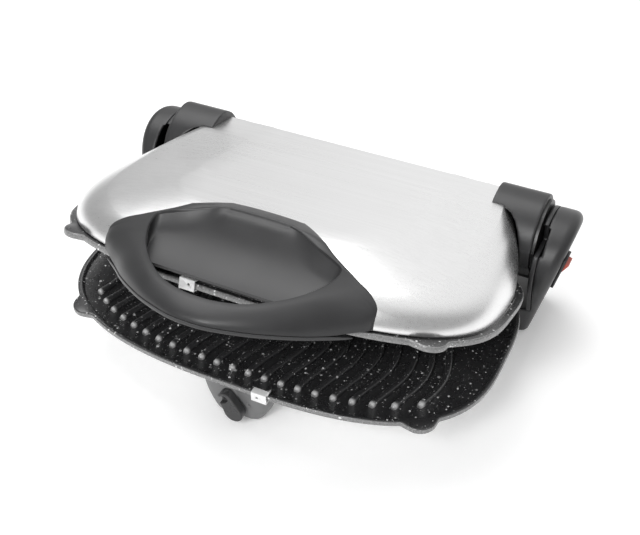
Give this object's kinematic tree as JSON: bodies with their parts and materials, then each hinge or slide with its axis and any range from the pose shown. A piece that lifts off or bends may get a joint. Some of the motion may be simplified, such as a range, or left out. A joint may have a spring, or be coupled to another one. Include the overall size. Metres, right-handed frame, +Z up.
{
  "type": "sandwich maker",
  "caption": "Contact grill sandwich maker: ribbed coated plates, steel lid on hinge pods, scooped black handle.",
  "frame": {"origin": "on the table, under the middle of the box that holds the part at rest with its lid propped open", "axes": "+X to the right seen from the front, +Y to the hinge at the back, +Z up"},
  "size_m": [0.384, 0.2979, 0.1564],
  "materials": {
    "coated_plate": "cast aluminium under a charcoal non-stick coating with pale specks",
    "lid_steel": "fine brushed steel",
    "pan_steel": "bright plain sheet",
    "black_plastic": "satin black with a fine grain",
    "grey_plastic": "satin dark grey",
    "red_plastic": "glossy red-brown",
    "bright_steel": "bright plated steel",
    "bronze": "plain turned bronze",
    "heater_tube": "dull heat-stained tube",
    "pale_insulator": "plain pale insulator",
    "rubber": "plain black rubber"
  },
  "bodies": {
    "base": {"lower_plate": "coated_plate", "base_pan": "pan_steel", "lower_reflector": "pan_steel", "pod_shell_left": "black_plastic", "pod_shell_right": "black_plastic", "pod_cover_left": "black_plastic", "pod_cover_right": "black_plastic", "rear_bridge": "black_plastic", "switch_body": "black_plastic", "cord_gland": "black_plastic", "front_cover": "grey_plastic", "hinge_pin_left": "bright_steel", "hinge_pin_right": "bright_steel", "latch_screw": "bright_steel", "pod_screws": "bright_steel", "foot_screws": "bright_steel", "lower_heating_element": "heater_tube", "lower_thermostat": "pale_insulator", "terminal_block": "pale_insulator", "rubber_feet": "rubber"},
    "lid": {"lid_cover": "lid_steel", "lid_frame": "black_plastic", "upper_plate": "coated_plate", "upper_heating_element": "heater_tube", "upper_reflector": "pan_steel", "upper_thermal_fuse": "pale_insulator", "handle_shell": "black_plastic", "handle_base": "black_plastic", "handle_screws": "bright_steel", "hinge_arm_left": "black_plastic", "hinge_arm_right": "black_plastic", "hinge_strap_left": "bright_steel", "hinge_strap_right": "bright_steel", "hinge_bush_left": "bronze", "hinge_bush_right": "bronze", "arm_screws": "bright_steel"},
    "latch": {"latch_lever": "grey_plastic"},
    "rocker": {"switch_rocker": "red_plastic"},
    "lower_clip": {"lower_clip": "bright_steel"},
    "upper_clip": {"upper_clip": "bright_steel"}
  },
  "joints": [
    {"name": "lid_hinge", "type": "hinge", "parent": "base", "child": "lid", "pos_m": [0, 0.109, 0.068], "axis": [-1, 0, 0], "range_deg": [-18.7, 86.3]},
    {"name": "latch_turn", "type": "hinge", "parent": "base", "child": "latch", "pos_m": [-0.003, -0.102, 0.026], "axis": [0, -1, 0], "range_deg": [0, 68]},
    {"name": "rocker_tilt", "type": "hinge", "parent": "base", "child": "rocker", "pos_m": [0.18341, 0.09, 0.07335], "axis": [0, 1, 0], "range_deg": [-20, 0]},
    {"name": "lower_clip_slide", "type": "slide", "parent": "base", "child": "lower_clip", "axis": [0, -1, 0], "range_m": [0, 0.0035], "stiffness_N_per_m": 300},
    {"name": "upper_clip_slide", "type": "slide", "parent": "lid", "child": "upper_clip", "axis": [0, -0.9472, 0.3206], "range_m": [0, 0.0035], "stiffness_N_per_m": 300}
  ]
}
